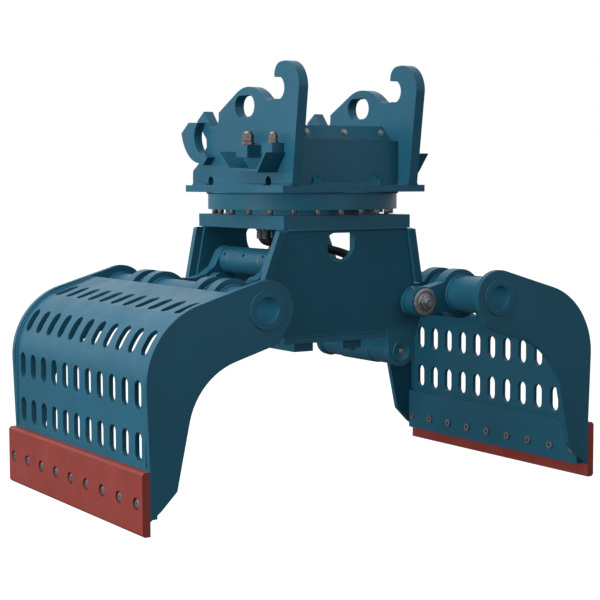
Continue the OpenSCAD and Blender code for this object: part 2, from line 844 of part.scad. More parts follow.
module oil_couplers() {
  color(bronze) for (m = [0, 1]) mirror([m, 0, 0]) {
    oil_coupler([ear_x + 26, -96, 1116.1], 22, 44);
    oil_coupler([ear_x + 24, -248, 1120.1], 16, 34);
  }
}

module left() { mirror([1, 0, 0]) children(); }
module far() { mirror([0, 1, 0]) children(); }

frame_side();  // frame_side_near
far() frame_side();  // frame_side_far
deck();
belly_plate();
belly_beams();
slewing_inner_ring();
slewing_balls();
oil_swivel();
hoses();
hose_fittings();
hose_bulkhead();
pivot_pins();
pivot_washers();
pivot_nuts();
base_pin();
base_pin_caps();
head_plate();
rotator_drum();
slewing_outer_ring();
drum_bolts();
left() ear();  // ear_left
ear();  // ear_right
cover_panel();  // cover_front
far() cover_panel();  // cover_rear
cover_lid();
cover_bolts();
wedge_claws();
wedge_lugs();
hose_troughs();
port_blocks();
oil_couplers();
slew_motor();
slew_pinion();
left() jaw_side(true);  // left_side_near
left() jaw_side(false);  // left_side_far
left() jaw_shell();  // left_shell
left() backing_strip();  // left_backing_strip
left() blade();  // left_blade
left() blade_bolts();  // left_blade_bolts
left() cross_tube();  // left_cross_tube
left_inner_arms_shape();  // left_inner_arms
left() outer_arms();  // left_outer_arms
left() jaw_bushes();  // left_bushes
sync_pins(sync_left, 16);  // left_sync_pins
rod_pin();
rod_pin_sleeves();
jaw_side(true);  // right_side_near
jaw_side(false);  // right_side_far
jaw_shell();  // right_shell
backing_strip();  // right_backing_strip
blade();  // right_blade
blade_bolts();  // right_blade_bolts
cross_tube();  // right_cross_tube
right_inner_arms_shape();  // right_inner_arms
outer_arms();  // right_outer_arms
jaw_bushes();  // right_bushes
sync_pins(sync_right, 16);  // right_sync_pins
piston_rod();
barrel();
sync_bars();
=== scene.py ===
import json
import logging
import math
from dataclasses import dataclass, field
from enum import Enum
from typing import Any, Callable, Iterable, Sequence

import bmesh
import bpy
from mathutils import Matrix, Vector


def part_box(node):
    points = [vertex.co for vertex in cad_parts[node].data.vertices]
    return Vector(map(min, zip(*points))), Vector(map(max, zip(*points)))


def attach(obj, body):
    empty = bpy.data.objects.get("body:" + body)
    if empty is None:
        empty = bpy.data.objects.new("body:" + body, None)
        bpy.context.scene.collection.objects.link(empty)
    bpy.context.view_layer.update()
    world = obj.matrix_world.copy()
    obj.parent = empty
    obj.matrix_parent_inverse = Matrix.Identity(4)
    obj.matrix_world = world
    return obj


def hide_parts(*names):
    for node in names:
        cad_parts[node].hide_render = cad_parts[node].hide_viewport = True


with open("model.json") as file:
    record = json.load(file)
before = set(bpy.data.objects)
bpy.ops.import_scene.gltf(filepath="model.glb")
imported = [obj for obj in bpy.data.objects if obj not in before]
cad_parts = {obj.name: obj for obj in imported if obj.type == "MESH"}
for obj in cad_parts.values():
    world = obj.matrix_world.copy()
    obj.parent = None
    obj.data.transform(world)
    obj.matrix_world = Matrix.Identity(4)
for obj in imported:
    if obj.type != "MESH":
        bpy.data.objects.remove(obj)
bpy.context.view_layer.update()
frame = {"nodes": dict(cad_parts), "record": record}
LOG = logging.getLogger("grapple")
MM = 0.001


class Side(Enum):
    """A jaw, by the sign of the X axis that it stands on."""

    LEFT = -1
    RIGHT = 1

    @property
    def label(self) -> str:
        """Gives the prefix of the jaw's CAD nodes."""
        return self.name.lower()


class Slot(Enum):
    """The record's material slots."""

    BLUE = "blue_paint"
    RED = "red_paint"
    STEEL = "machined_steel"
    PHOSPHATE = "phosphated_steel"
    BRONZE = "bronze"
    IRON = "cast_iron"
    RUBBER = "hose_rubber"
    CHROME = "rod_chrome"


def to_linear(code: str) -> tuple[float, float, float, float]:
    """Turns an sRGB hex colour to the linear values that shaders take.

    Args:
        code: Six hex digits, with or without a leading hash.

    Returns:
        Red, green, blue and an alpha of one.
    """
    code = code.lstrip("#")
    parts = [int(code[i:i + 2], 16) / 255 for i in (0, 2, 4)]
    linear = [p / 12.92 if p <= 0.04045 else ((p + 0.055) / 1.055) ** 2.4 for p in parts]
    return (linear[0], linear[1], linear[2], 1.0)


def per_metre(size_mm: float) -> float:
    """Gives the texture scale at which one feature is size_mm long.

    Args:
        size_mm: Length of a feature in millimetres.

    Returns:
        Features in one metre.
    """
    return 1 / (size_mm * MM)


def add_node(tree: bpy.types.NodeTree, kind: str, inputs: dict[Any, Any] | None = None,
             **settings: Any) -> bpy.types.Node:
    """Adds one shader node with its options, values and links.

    Args:
        tree: The material's or world's node tree.
        kind: The node's type name.
        inputs: A value or an output socket for each input, by name or number.
        **settings: Options of the node itself.

    Returns:
        The new node.
    """
    node = tree.nodes.new(kind)
    for name, value in settings.items():
        setattr(node, name, value)
    for key, value in (inputs or {}).items():
        if isinstance(value, bpy.types.NodeSocket):
            tree.links.new(value, node.inputs[key])
        else:
            node.inputs[key].default_value = value
    return node


def empty_tree(owner: bpy.types.Material | bpy.types.World) -> bpy.types.NodeTree:
    """Gives the owner's node tree with nothing in it.

    Args:
        owner: A material or a world.

    Returns:
        The cleared tree.
    """
    owner.use_nodes = True
    owner.node_tree.nodes.clear()
    return owner.node_tree


@dataclass(frozen=True)
class Finish:
    """What every finish shares: a name, a colour and how rough the surface is."""

    name: str
    slot: Slot
    colour: str
    roughness: float

    def make(self) -> bpy.types.Material:
        """Builds the material.

        Returns:
            The finished material.
        """
        material = bpy.data.materials.new(self.name)
        tree = empty_tree(material)
        shader = self.surface(tree, add_node(tree, "ShaderNodeTexCoord").outputs["Object"])
        add_node(tree, "ShaderNodeOutputMaterial", {"Surface": shader.outputs[0]})
        return material

    def surface(self, tree: bpy.types.NodeTree, coords: bpy.types.NodeSocket) -> bpy.types.Node:
        """Adds the shader; each finish has its own.

        Args:
            tree: The material's node tree.
            coords: Object coordinates in metres.

        Returns:
            The shader node.
        """
        raise NotImplementedError


def cloud(tree: bpy.types.NodeTree, coords: bpy.types.NodeSocket, size_mm: float,
          detail: float, low: float, high: float) -> bpy.types.NodeSocket:
    """Adds an uneven pattern that runs from low to high.

    Args:
        tree: The material's node tree.
        coords: Object coordinates in metres.
        size_mm: Size of one patch in millimetres.
        detail: How many finer layers it has.
        low: Value in its lowest places.
        high: Value in its highest places.

    Returns:
        The pattern's output.
    """
    noise = add_node(tree, "ShaderNodeTexNoise",
                     {"Vector": coords, "Scale": per_metre(size_mm), "Detail": detail})
    spread = add_node(tree, "ShaderNodeMapRange", {"Value": noise.outputs[0], "From Min": 0.3,
                                                   "From Max": 0.7, "To Min": low, "To Max": high})
    return spread.outputs["Result"]


def blend_colour(tree: bpy.types.NodeTree, share: bpy.types.NodeSocket, first: Any,
                 second: Any) -> bpy.types.NodeSocket:
    """Mixes two colours.

    Args:
        tree: The material's node tree.
        share: How much of the second colour shows.
        first: A colour or an output.
        second: A colour or an output.

    Returns:
        The mixed colour's output.
    """
    mix = add_node(tree, "ShaderNodeMix", {0: share, 6: first, 7: second}, data_type="RGBA")
    return mix.outputs[2]


def rounded_edges(tree: bpy.types.NodeTree, radius_mm: float) -> tuple[Any, Any]:
    """Adds the soft line that a broken edge shows, and a mask of where the edges are.

    Args:
        tree: The material's node tree.
        radius_mm: Radius of the broken edge.

    Returns:
        The rounded normal and the mask, as two outputs.
    """
    bevel = add_node(tree, "ShaderNodeBevel", {"Radius": radius_mm * MM}, samples=6)
    facing = add_node(tree, "ShaderNodeNewGeometry").outputs["Normal"]
    match = add_node(tree, "ShaderNodeVectorMath", {0: bevel.outputs[0], 1: facing},
                     operation="DOT_PRODUCT")
    mask = add_node(tree, "ShaderNodeMapRange", {"Value": match.outputs["Value"], "From Min": 0.97,
                                                 "From Max": 0.75, "To Min": 0.0, "To Max": 1.0})
    return bevel.outputs[0], mask.outputs["Result"]


@dataclass(frozen=True)
class SprayedEnamel(Finish):
    """Two-part polyurethane enamel, sprayed over blasted and primed steel plate.

    It gives the eye a satin sheen with a faint orange peel, a slow drift of tone where the
    coats overlap, and a patchy colour along every broken edge: on the blue enamel a paler blue
    that is a painted edge highlight, on the red enamel a darker wear.
    """

    drift: str = "#000000"
    # edge is the colour mixed in along every edge: on the blue enamel a paler blue, a painted edge
    # highlight; on the red enamel a darker wear colour.
    edge: str = "#ffffff"
    drift_mm: float = 260.0
    peel_mm: float = 5.0
    edge_mm: float = 2.2
    edge_highlight_and_wear_share: float = 0.5
    gloss: float = 0.2

    def surface(self, tree: bpy.types.NodeTree, coords: bpy.types.NodeSocket) -> bpy.types.Node:
        """Adds the enamel's shader.

        Args:
            tree: The material's node tree.
            coords: Object coordinates in metres.

        Returns:
            The shader node.
        """
        tone = blend_colour(tree, cloud(tree, coords, self.drift_mm, 4, 0.0, 1.0),
                            to_linear(self.colour), to_linear(self.drift))
        normal, edges = rounded_edges(tree, self.edge_mm)
        patchy = cloud(tree, coords, 34.0, 5, 0.15, 1.0)
        # Mixes the edge colour in, in patches along every edge: a painted edge highlight on the
        # blue enamel, darker wear on the red.
        highlight_and_wear_mask = add_node(tree, "ShaderNodeMath", {0: edges, 1: patchy}, operation="MULTIPLY")
        highlight_and_wear_mask = add_node(tree, "ShaderNodeMath", {0: highlight_and_wear_mask.outputs[0], 1: self.edge_highlight_and_wear_share},
                       operation="MULTIPLY")
        highlit_and_worn = blend_colour(tree, highlight_and_wear_mask.outputs[0], tone, to_linear(self.edge))
        # The real orange peel is 1 to 2 mm across; it is drawn coarser so that it shows.
        peel = cloud(tree, coords, self.peel_mm, 2, 0.0, 1.0)
        bump = add_node(tree, "ShaderNodeBump", {"Strength": 0.12, "Distance": 0.0006,
                                                 "Height": peel, "Normal": normal})
        rough = cloud(tree, coords, 90.0, 5, self.roughness - 0.05, self.roughness + 0.07)
        return add_node(tree, "ShaderNodeBsdfPrincipled", {
            "Base Color": highlit_and_worn, "Roughness": rough, "IOR": 1.5, "Normal": bump.outputs[0],
            "Specular IOR Level": self.gloss})


@dataclass(frozen=True)
class CutSteel(Finish):
    """Steel turned or milled and left bare, or phosphated, with a film of oil.

    It gives the eye a dull grey metal with fine tool marks that catch the light in streaks,
    and darker stains where oil and dust have settled.
    """

    stain: str = "#202020"
    metallic: float = 1.0
    mark_mm: float = 2.5
    stain_share: float = 0.6
    edge_mm: float = 0.8

    def surface(self, tree: bpy.types.NodeTree, coords: bpy.types.NodeSocket) -> bpy.types.Node:
        """Adds the bare metal's shader.

        Args:
            tree: The material's node tree.
            coords: Object coordinates in metres.

        Returns:
            The shader node.
        """
        stains = cloud(tree, coords, 16.0, 5, 0.0, self.stain_share)
        tone = blend_colour(tree, stains, to_linear(self.colour), to_linear(self.stain))
        # Tool marks are about 0.2 mm apart; they are drawn as streaks coarse enough to show.
        squeeze = add_node(tree, "ShaderNodeMapping", {"Vector": coords, "Scale": (1, 0.12, 1)})
        marks = cloud(tree, squeeze.outputs[0], self.mark_mm, 3, 0.0, 1.0)
        normal, _ = rounded_edges(tree, self.edge_mm)
        bump = add_node(tree, "ShaderNodeBump", {"Strength": 0.15, "Distance": 0.0003,
                                                 "Height": marks, "Normal": normal})
        rough = cloud(tree, coords, 12.0, 4, self.roughness - 0.08, self.roughness + 0.12)
        return add_node(tree, "ShaderNodeBsdfPrincipled", {
            "Base Color": tone, "Metallic": self.metallic, "Roughness": rough,
            "Normal": bump.outputs[0]})


@dataclass(frozen=True)
class HoseCover(Finish):
    """Synthetic rubber hose cover, wrapped in tape while it cured.

    It gives the eye a matt black with a fine crossed weave from the wrapping and grey dust.
    """

    dust: str = "#3a3a3a"
    weave_mm: float = 3.0

    def surface(self, tree: bpy.types.NodeTree, coords: bpy.types.NodeSocket) -> bpy.types.Node:
        """Adds the rubber's shader.

        Args:
            tree: The material's node tree.
            coords: Object coordinates in metres.

        Returns:
            The shader node.
        """
        tone = blend_colour(tree, cloud(tree, coords, 22.0, 5, 0.0, 0.5),
                            to_linear(self.colour), to_linear(self.dust))
        # A cover's wrapping marks are about 1 mm; three times that shows at this distance.
        weave = add_node(tree, "ShaderNodeTexVoronoi",
                         {"Vector": coords, "Scale": per_metre(self.weave_mm)})
        bump = add_node(tree, "ShaderNodeBump", {"Strength": 0.3, "Distance": 0.0004,
                                                 "Height": weave.outputs["Distance"]})
        return add_node(tree, "ShaderNodeBsdfPrincipled", {
            "Base Color": tone, "Roughness": self.roughness, "IOR": 1.52,
            "Normal": bump.outputs[0]})


FINISHES: tuple[Finish, ...] = (
    # The blue enamel's paler edge colour is a painted edge highlight; the red enamel's darker edge
    # colour is wear.
    SprayedEnamel("blue_polyurethane_enamel", Slot.BLUE, "#215e75", 0.42,
                  drift="#1e566b", edge="#6b94b4"),
    SprayedEnamel("oxide_red_enamel", Slot.RED, "#93433d", 0.5, drift="#873a34",
                  edge="#5f312d", drift_mm=120.0, edge_highlight_and_wear_share=0.7, gloss=0.12),
    CutSteel("turned_steel", Slot.STEEL, "#7d8082", 0.5, stain="#4c4a47", metallic=0.9),
    CutSteel("zinc_phosphated_steel", Slot.PHOSPHATE, "#887c72", 0.42, stain="#4a423b"),
    CutSteel("turned_bronze", Slot.BRONZE, "#b08050", 0.35, stain="#6e4f33"),
    CutSteel("primed_grey_iron", Slot.IRON, "#4a4c4d", 0.6, stain="#2c2d2e", metallic=0.5),
    HoseCover("wrapped_hose_rubber", Slot.RUBBER, "#17181a", 0.62),
    CutSteel("ground_hard_chrome", Slot.CHROME, "#c4c7c9", 0.16, stain="#9a9da0",
             stain_share=0.25),
)


class Finishes:
    """The made materials, by slot, and the dressing of the CAD nodes with them."""

    def __init__(self) -> None:
        """Makes each finish once."""
        self.by_slot = {finish.slot: finish.make() for finish in FINISHES}

    def dress_cad(self) -> None:
        """Gives every CAD node the finish of its slot, and smooth shading on its round faces."""
        crease = math.radians(32)
        for part in frame["record"]["subparts"]:
            node = frame["nodes"][part["node"]]
            material = self.by_slot[Slot(part["material_slot"])]
            mesh = node.data
            mesh.materials.clear()
            mesh.materials.append(material)
            mesh.polygons.foreach_set("material_index", [0] * len(mesh.polygons))
            mesh.polygons.foreach_set("use_smooth", [True] * len(mesh.polygons))
            mesh.set_sharp_from_angle(angle=crease)
        self.paint_rod_eye()
        self.paint_ring_skirts()

    def paint_rod_eye(self, reach_mm: float = 62.0) -> None:
        """Paints the forged eye of the piston rod, whose shaft stays chromed.

        Args:
            reach_mm: How far from the rod pin the paint goes.
        """
        low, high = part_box("rod_pin")
        pin = (low + high) / 2
        mesh = frame["nodes"]["piston_rod"].data
        mesh.materials.append(self.by_slot[Slot.BLUE])
        for face in mesh.polygons:
            offset = math.hypot(face.center.x - pin.x, face.center.z - pin.z)
            face.material_index = 1 if offset < reach_mm * MM else 0

    def paint_ring_skirts(self, outward: float = 0.7) -> None:
        """Paints the outer skirts of the slewing ring, whose races stay bare.

        Args:
            outward: How squarely a face has to look away from the axis to be painted.
        """
        for name in ("slewing_inner_ring", "slewing_outer_ring"):
            mesh = frame["nodes"][name].data
            mesh.materials.append(self.by_slot[Slot.BLUE])
            for face in mesh.polygons:
                away = Vector((face.center.x, face.center.y, 0)).normalized()
                face.material_index = 1 if face.normal.dot(away) > outward else 0


def cross_frame(direction: Vector) -> tuple[Vector, Vector]:
    """Gives two unit vectors square to a direction and to each other.

    Args:
        direction: Any vector with a length.

    Returns:
        The two vectors, right-handed with the direction.
    """
    line = direction.normalized()
    helper = Vector((0, 0, 1)) if abs(line.z) < 0.9 else Vector((1, 0, 0))
    first = helper.cross(line).normalized()
    return first, line.cross(first)


class Piece:
    """One mesh piece that is being made, in the frame's metres."""

    def __init__(self, name: str) -> None:
        """Starts an empty piece.

        Args:
            name: The piece's name in the scene.
        """
        self.name = name
        self.mesh = bmesh.new()

    def loft(self, rings: Sequence[Sequence[Vector]], looped: bool = False) -> None:
        """Skins rings of points, with a lid on each end or joined end to end.

        Args:
            rings: Rings with as many points each.
            looped: True where the last ring joins the first.
        """
        made = [[self.mesh.verts.new(point) for point in ring] for ring in rings]
        count = len(made[0])
        spans = len(made) if looped else len(made) - 1
        for i in range(spans):
            low, high = made[i], made[(i + 1) % len(made)]
            for k in range(count):
                j = (k + 1) % count
                self.mesh.faces.new((low[k], low[j], high[j], high[k]))
        if not looped:
            self.mesh.faces.new(list(reversed(made[0])))
            self.mesh.faces.new(made[-1])

    def turn(self, profile: Sequence[tuple[float, float]], base: Vector, axis: Vector,
             sides: int = 40, looped: bool = False) -> None:
        """Turns a profile round an axis, as on a lathe.

        Args:
            profile: Radius and height of each point in millimetres.
            base: Where height zero is.
            axis: The way that height runs.
            sides: Points round the axis.
            looped: True for a ring, whose profile closes on itself.
        """
        across, up = cross_frame(axis)
        along = axis.normalized()
        rings = []
        for radius, height in profile:
            angles = [2 * math.pi * k / sides for k in range(sides)]
            rings.append([base + along * height * MM
                          + (across * math.cos(a) + up * math.sin(a)) * radius * MM
                          for a in angles])
        self.loft(rings, looped)

    def hexagon(self, flats: float, height: float, base: Vector, axis: Vector,
                socket: float = 0.0) -> None:
        """Adds a hexagon head or nut, chamfered at both ends.

        Args:
            flats: Size across the flats in millimetres.
            height: Height in millimetres.
            base: Centre of its seat.
            axis: The way it stands out.
            socket: Radius of a recess in its top, or zero.
        """
        across, up = cross_frame(axis)
        along = axis.normalized()
        sides = 36
        apothem = flats / 2
        seat = apothem * 0.97
        slope = math.tan(math.radians(30))

        def ring(radius: Callable[[float], float],
                 level: Callable[[float], float]) -> list[Vector]:
            """Gives one ring of points, from its radius and its level at each angle."""
            points = []
            for k in range(sides):
                a = 2 * math.pi * k / sides
                flat = apothem / math.cos((a % (math.pi / 3)) - math.pi / 6)
                points.append(base + along * level(flat) * MM
                              + (across * math.cos(a) + up * math.sin(a)) * radius(flat) * MM)
            return points

        rings = [ring(lambda flat: seat, lambda flat: 0.0),
                 ring(lambda flat: flat, lambda flat: slope * (flat - seat)),
                 ring(lambda flat: flat, lambda flat: height - slope * (flat - seat)),
                 ring(lambda flat: seat, lambda flat: height)]
        if socket:
            rings += [ring(lambda flat: socket, lambda flat: height),
                      ring(lambda flat: socket * 0.92, lambda flat: height * 0.45)]
        self.loft(rings)

    def sweep(self, path: Sequence[Vector], radius: float, sides: int = 10, looped: bool = False,
              relief: Callable[[float, float], float] | None = None) -> None:
        """Runs a round section along a path.

        Args:
            path: Points in metres.
            radius: Radius in millimetres.
            sides: Points round the section.
            looped: True where the path closes on itself.
            relief: Extra radius in millimetres at a length in millimetres and an angle.
        """
        count = len(path)
        rings = []
        travelled = 0.0
        last = None
        side = None
        for i, point in enumerate(path):
            before = path[(i - 1) % count] if looped or i else path[0]
            after = path[(i + 1) % count] if looped or i < count - 1 else path[-1]
            heading = (after - before).normalized()
            if side is None:
                side, _ = cross_frame(heading)
            side = (side - heading * side.dot(heading)).normalized()
            other = heading.cross(side)
            travelled += (point - last).length / MM if last is not None else 0.0
            last = point
            ring = []
            for k in range(sides):
                a = 2 * math.pi * k / sides
                reach = radius + (relief(travelled, a) if relief else 0.0)
                ring.append(point + (side * math.cos(a) + other * math.sin(a)) * reach * MM)
            rings.append(ring)
        self.loft(rings, looped)

    def place(self, finishes: Finishes, slot: Slot, body: str, stands_for: Iterable[str] = (),
              smooth_deg: float = 40.0) -> bpy.types.Object:
        """Ends the piece: gives it its finish, its body and the nodes that it stands for.

        Args:
            finishes: The made materials.
            slot: The record's slot that it takes its finish from.
            body: The CAD body that it moves with.
            stands_for: CAD nodes that it takes the place of.
            smooth_deg: Edges sharper than this stay sharp.

        Returns:
            The placed object.
        """
        bmesh.ops.recalc_face_normals(self.mesh, faces=self.mesh.faces)
        data = bpy.data.meshes.new(self.name)
        self.mesh.to_mesh(data)
        faces = len(self.mesh.faces)
        self.mesh.free()
        data.polygons.foreach_set("use_smooth", [True] * len(data.polygons))
        data.set_sharp_from_angle(angle=math.radians(smooth_deg))
        data.materials.append(finishes.by_slot[slot])
        thing = bpy.data.objects.new(self.name, data)
        bpy.context.scene.collection.objects.link(thing)
        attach(thing, body)
        if stands_for:
            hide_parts(*stands_for)
        LOG.info("piece %s on %s: %d faces", self.name, body, faces)
        return thing


@dataclass(frozen=True)
class Weld:
    """A bead of metal-arc weld, with the ripples that the moving arc leaves."""

    radius: float = 4.5
    ripple: float = 0.7
    pitch: float = 7.0
    sides: int = 8

    def relief(self, length: float, angle: float) -> float:
        """Gives the bead's ripple.

        Args:
            length: Length along the bead in millimetres.
            angle: Angle round the bead.

        Returns:
            Extra radius in millimetres.
        """
        return self.ripple * math.cos(2 * math.pi * length / self.pitch)

    def ring(self, piece: Piece, centre: Vector, axis: Vector, radius: float) -> None:
        """Lays a bead in a circle.

        Args:
            piece: The piece that takes it.
            centre: Centre of the circle.
            axis: The circle's axis.
            radius: Radius of the bead's middle line in millimetres.
        """
        across, up = cross_frame(axis)
        steps = 2 * round(2 * math.pi * radius / self.pitch)
        angles = [2 * math.pi * i / steps for i in range(steps)]
        path = [centre + (across * math.cos(a) + up * math.sin(a)) * radius * MM for a in angles]
        piece.sweep(path, self.radius, self.sides, True, self.relief)

    def line(self, piece: Piece, corners: Sequence[Vector]) -> None:
        """Lays a bead along straight runs or close points.

        Args:
            piece: The piece that takes it.
            corners: The points that it passes through.
        """
        path = [corners[0]]
        for start, end in zip(corners, corners[1:]):
            steps = max(1, round((end - start).length / (self.pitch / 2 * MM)))
            path += [start.lerp(end, i / steps) for i in range(1, steps + 1)]
        piece.sweep(path, self.radius, self.sides, False, self.relief)


def middle(node: str) -> Vector:
    """Gives the middle of a CAD node's box.

    Args:
        node: The node's name.

    Returns:
        The middle, in metres.
    """
    low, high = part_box(node)
    return (low + high) / 2


@dataclass
class Jaw:
    """One perforated jaw with its side plates, blade, tube and arms, in millimetres.

    The sizes are the CAD jaw's, but the shell's slots and its flat top are the photograph's.
    """

    side: Side
    finishes: Finishes
    arm_faces: tuple[float, ...] = (150.0, 194.0, 254.0, 298.0)
    shell_half: float = 479.5
    bend_centre: tuple[float, float] = (596.0, 423.0)
    shell_outer: float = 228.0
    shell_t: float = 14.0
    shell_low: float = 44.0
    bend_deg: float = 61.0
    flat_slope: float = 18.8
    flat_run: float = 172.7
    slot_count: int = 11
    slot_pitch: float = 85.5
    slot_half_w: float = 21.0
    slot_half_len: float = 42.0
    slot_rows: tuple[float, ...] = (204.0, 353.0, 508.3, 667.7)
    slot_margin: float = 20.0
    plain_step: float = 11.0
    bend_smooth_deg: float = 9.0
    strip_top: float = 187.0
    blade_face: float = 849.0
    bolt_count: int = 9
    bolt_pitch: float = 114.7
    bolt_z: float = 90.0
    strip_t: float = 18.2
    pivot_x: float = 285.0
    eye_r: float = 50.0
    nipple_y: float = 276.0
    nipple_lean: tuple[float, float] = (0.55, 0.83)
    weld: Weld = field(default_factory=Weld)

    @property
    def body(self) -> str:
        """Names the CAD body of the jaw."""
        return f"{self.side.label}_jaw"

    def at(self, x: float, y: float, z: float) -> Vector:
        """Gives a point from sizes that are drawn for the right jaw.

        Args:
            x: Distance from the slewing axis in millimetres.
            y: Place along the pins in millimetres.
            z: Height in millimetres.

        Returns:
            The point in metres, on this jaw's side.
        """
        return Vector((self.side.value * x, y, z)) * MM

    def build(self) -> None:
        """Builds every piece of the jaw."""
        self.perforate_shell()
        self.weld_tube()
        self.weld_shell()
        self.bolt_blade()
        self.nipples()

    def weld_tube(self) -> None:
        """Lays the beads that hold the arms and the side plates on the cross tube."""
        name = f"{self.side.label}_cross_tube"
        low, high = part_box(name)
        centre = middle(name)
        radius = (high.z - low.z) / 2 / MM
        piece = Piece(f"{self.side.label}_tube_welds")
        inner = self.arm_faces[0] - 2
        offsets = [inner, self.arm_faces[1] + 2, self.arm_faces[2] - 2, self.arm_faces[3] + 2,
                   self.shell_half - 2]
        for y in offsets:
            for sign in (-1, 1):
                spot = Vector((centre.x, sign * y * MM, centre.z))
                self.weld.ring(piece, spot, Vector((0, 1, 0)), radius + 1.5)
        piece.place(self.finishes, Slot.BLUE, self.body)

    @property
    def bend_start(self) -> float:
        """Gives the length along the shell at which its bend starts."""
        return self.bend_centre[1] - self.shell_low

    @property
    def crease(self) -> float:
        """Gives the length along the shell at which the bend meets the flat top."""
        return self.bend_start + math.radians(self.bend_deg) * self.shell_outer

    def on_shell(self, run: float, inset: float, y: float) -> Vector:
        """Gives a point in the shell's plate.

        Args:
            run: Length along the outside from the lower edge in millimetres.
            inset: Depth below the outer face in millimetres.
            y: Place along the pins in millimetres.

        Returns:
            The point in metres, on this jaw's side.
        """
        cx, cz = self.bend_centre
        if run <= self.bend_start:
            return self.at(cx + self.shell_outer - inset, y, self.shell_low + run)
        if run < self.crease:
            a = (run - self.bend_start) / self.shell_outer
            reach = self.shell_outer - inset
            return self.at(cx + reach * math.cos(a), y, cz + reach * math.sin(a))
        bend = math.radians(self.bend_deg)
        slope = math.radians(self.flat_slope)
        half = (math.pi / 2 - slope - bend) / 2
        mitre = inset / math.cos(half)
        x = cx + self.shell_outer * math.cos(bend) - mitre * math.cos(bend + half)
        z = cz + self.shell_outer * math.sin(bend) - mitre * math.sin(bend + half)
        along = run - self.crease
        return self.at(x - along * math.cos(slope), y, z + along * math.sin(slope))

    def slot_point(self, across: float, up: float) -> tuple[float, float]:
        """Gives the point of a slot's rim that belongs to a point of its cell's rim.

        Args:
            across: Place across the cell, from -1 to 1.
            up: Place along the cell, from -1 to 1.

        Returns:
            Offsets across and along from the slot's middle, in millimetres.
        """
        straight = self.slot_half_len - self.slot_half_w
        if abs(across) > abs(up) - 1e-6 and abs(up) <= 0.5:
            return math.copysign(self.slot_half_w, across), up / 0.5 * straight
        if abs(across) >= 1 - 1e-6:
            turn = (abs(up) - 0.5) / 0.5 * math.pi / 4
        else:
            turn = math.pi / 4 + (1 - abs(across)) * math.pi / 4
        return (math.copysign(self.slot_half_w * math.cos(turn), across),
                math.copysign(straight + self.slot_half_w * math.sin(turn), up))

    def perforate_shell(self, half_steps: int = 6, columns: int = 6) -> None:
        """Makes the bent shell with its rows of flame-cut slots.

        Args:
            half_steps: Steps from a slot's middle to its cell's end.
            columns: Steps across a slot's cell.
        """
        runs = [0.0]
        starts = []
        for row in self.slot_rows:
            low = max(row - self.slot_half_len - self.slot_margin, 0.0)
            if low < self.crease < row:
                low = self.crease
            high = row + self.slot_half_len + self.slot_margin
            gap = low - runs[-1]
            steps = max(1, round(gap / self.plain_step))
            last = runs[-1]
            runs += [last + gap * i / steps for i in range(1, steps)]
            starts.append(len(runs))
            runs += [low + (row - low) * i / half_steps for i in range(half_steps)]
            runs += [row + (high - row) * i / half_steps for i in range(half_steps + 1)]
        runs.append(self.crease + self.flat_run)
        first = -self.slot_count / 2 * self.slot_pitch
        places = [-self.shell_half]
        for i in range(self.slot_count * columns + 1):
            places.append(first + i * self.slot_pitch / columns)
        places.append(self.shell_half)
        piece = Piece(f"{self.side.label}_sieve_shell")
        skins = [[[piece.mesh.verts.new(self.on_shell(run, inset, y)) for y in places]
                  for run in runs] for inset in (0.0, self.shell_t)]
        cells = {(start + i, 1 + slot * columns + k)
                 for start in starts for slot in range(self.slot_count)
                 for i in range(2 * half_steps) for k in range(columns)}
        for i in range(len(runs) - 1):
            for k in range(len(places) - 1):
                if (i, k) not in cells:
                    for skin in skins:
                        piece.mesh.faces.new((skin[i][k], skin[i][k + 1], skin[i + 1][k + 1],
                                              skin[i + 1][k]))
        rim = ([(0, k) for k in range(len(places))]
               + [(i, len(places) - 1) for i in range(1, len(runs))]
               + [(len(runs) - 1, k) for k in range(len(places) - 2, -1, -1)]
               + [(i, 0) for i in range(len(runs) - 2, 0, -1)])
        self.bridge(piece, [[skin[i][k] for i, k in rim] for skin in skins])
        for start, row in zip(starts, self.slot_rows):
            for slot in range(self.slot_count):
                self.cut_slot(piece, skins, (start, 1 + slot * columns), (half_steps, columns),
                              (row, first + (slot + 0.5) * self.slot_pitch))
        for skin in skins:
            for line in skin:
                for vertex in line:
                    if not vertex.link_faces:
                        piece.mesh.verts.remove(vertex)
        piece.place(self.finishes, Slot.BLUE, self.body, [f"{self.side.label}_shell"],
                    self.bend_smooth_deg)

    def cut_slot(self, piece: Piece, skins: Any, corner: tuple[int, int],
                 steps: tuple[int, int], centre: tuple[float, float]) -> None:
        """Fills one cell of the shell with plate round a slot.

        Args:
            piece: The piece that takes it.
            skins: The outer and inner grid of vertices.
            corner: Row and column of the cell's first vertex.
            steps: Half the rows and all the columns of the cell.
            centre: Length along the shell and place along the pins of the slot's middle.
        """
        half, columns = steps
        rows = 2 * half
        rim = ([(0, k) for k in range(columns)] + [(i, columns) for i in range(rows)]
               + [(rows, k) for k in range(columns, 0, -1)] + [(i, 0) for i in range(rows, 0, -1)])
        loops = []
        for skin, inset in zip(skins, (0.0, self.shell_t)):
            edge = []
            for i, k in rim:
                across, up = self.slot_point(2 * k / columns - 1, i / half - 1)
                edge.append(piece.mesh.verts.new(
                    self.on_shell(centre[0] + up, inset, centre[1] + across)))
            loops.append([skin[corner[0] + i][corner[1] + k] for i, k in rim])
            loops.append(edge)
        outer, outer_edge, inner, inner_edge = loops
        self.bridge(piece, [outer, outer_edge, inner_edge, inner])

    def bridge(self, piece: Piece, loops: list[Any]) -> None:
        """Joins closed loops of vertices with bands of faces.

        Args:
            piece: The piece that takes them.
            loops: Loops with as many vertices each.
        """
        count = len(loops[0])
        for low, high in zip(loops, loops[1:]):
            for k in range(count):
                j = (k + 1) % count
                piece.mesh.faces.new((low[k], low[j], high[j], high[k]))

